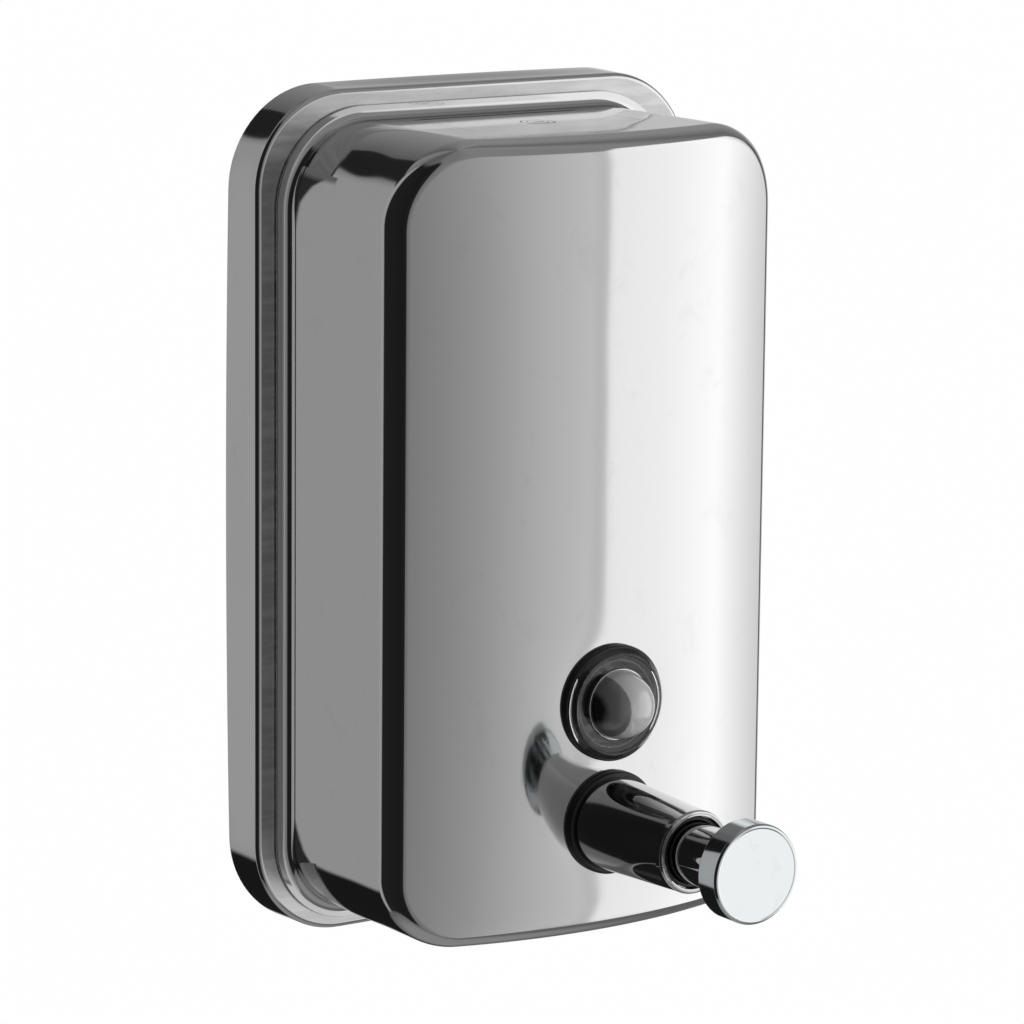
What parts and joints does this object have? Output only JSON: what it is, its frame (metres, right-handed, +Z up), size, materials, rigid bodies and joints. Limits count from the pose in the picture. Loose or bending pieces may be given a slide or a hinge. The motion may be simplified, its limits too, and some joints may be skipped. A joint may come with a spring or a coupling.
{
  "type": "wall mounted soap dispenser",
  "caption": "Polished steel soap dispenser for a wall: bowed tank on a shallow back pan, domed sight window, horizontal push pump, locked filler lid in the top and a hang-on bracket.",
  "frame": {"origin": "centre of the wall bracket's back face, in the plane of the wall, at the middle of the back pan's height and width", "axes": "+Y into the wall, so the dispenser faces -Y; +Z up; +X to the right for someone facing the dispenser"},
  "size_m": [0.1278, 0.1282, 0.2062],
  "materials": {
    "polished_steel": "mirror polished stainless sheet with faint straight polishing lines",
    "chrome_plate": "bright chrome plate",
    "zinc_steel": "dull zinc plated steel sheet",
    "spring_steel": "bright drawn spring steel",
    "black_rubber": "matt black rubber",
    "white_nylon": "off-white moulded nylon",
    "clear_plastic": "clear moulded acrylic, glossy"
  },
  "bodies": {
    "bracket": {"wall_bracket": "zinc_steel"},
    "dispenser": {"back_pan": "polished_steel", "tank_shell": "polished_steel", "hanger_strap_upper": "zinc_steel", "hanger_strap_lower": "zinc_steel", "filler_frame": "white_nylon", "lid_gasket": "black_rubber", "lid_hinge_pin": "spring_steel", "window_ring": "black_rubber", "sight_lens": "clear_plastic", "window_washer": "black_rubber", "window_nut": "white_nylon", "pump_gasket": "black_rubber", "pump_barrel": "chrome_plate", "pump_washer": "black_rubber", "pump_nut": "white_nylon", "stem_guide": "white_nylon", "stem_seal": "black_rubber", "inlet_cap": "white_nylon", "intake_tube": "clear_plastic", "return_spring": "spring_steel", "inlet_spring": "spring_steel"},
    "lid": {"filler_lid": "polished_steel", "lock_sleeve": "chrome_plate"},
    "lock": {"lock_plug": "chrome_plate", "lock_cam": "zinc_steel"},
    "plunger": {"push_button": "chrome_plate", "plunger_stem": "chrome_plate", "piston": "white_nylon", "piston_ring": "black_rubber", "piston_nut": "spring_steel", "outlet_spring": "spring_steel"},
    "inlet_valve": {"inlet_ball": "spring_steel"},
    "outlet_valve": {"outlet_ball": "spring_steel"}
  },
  "joints": [
    {"name": "lift_off", "type": "slide", "parent": "bracket", "child": "dispenser", "axis": [0, 0, 1], "range_m": [0, 0.012]},
    {"name": "lid_hinge", "type": "hinge", "parent": "dispenser", "child": "lid", "pos_m": [0, -0.0232, 0.0918], "axis": [-1, 0, 0], "range_deg": [0, 90]},
    {"name": "lock_turn", "type": "hinge", "parent": "lid", "child": "lock", "pos_m": [0, -0.0372, 0.09], "axis": [0, 0, -1], "range_deg": [0, 90]},
    {"name": "button_press", "type": "slide", "parent": "dispenser", "child": "plunger", "axis": [0, 1, 0], "range_m": [0, 0.012], "stiffness_N_per_m": 350, "springref_m": -0.01, "deforming": ["return_spring"]},
    {"name": "inlet_ball_lift", "type": "slide", "parent": "dispenser", "child": "inlet_valve", "axis": [0, -1, 0], "range_m": [0, 0.002], "stiffness_N_per_m": 30, "springref_m": -0.002, "deforming": ["inlet_spring"]},
    {"name": "outlet_ball_lift", "type": "slide", "parent": "plunger", "child": "outlet_valve", "axis": [0, -1, 0], "range_m": [0, 0.003], "stiffness_N_per_m": 30, "springref_m": -0.002, "deforming": ["outlet_spring"]}
  ]
}
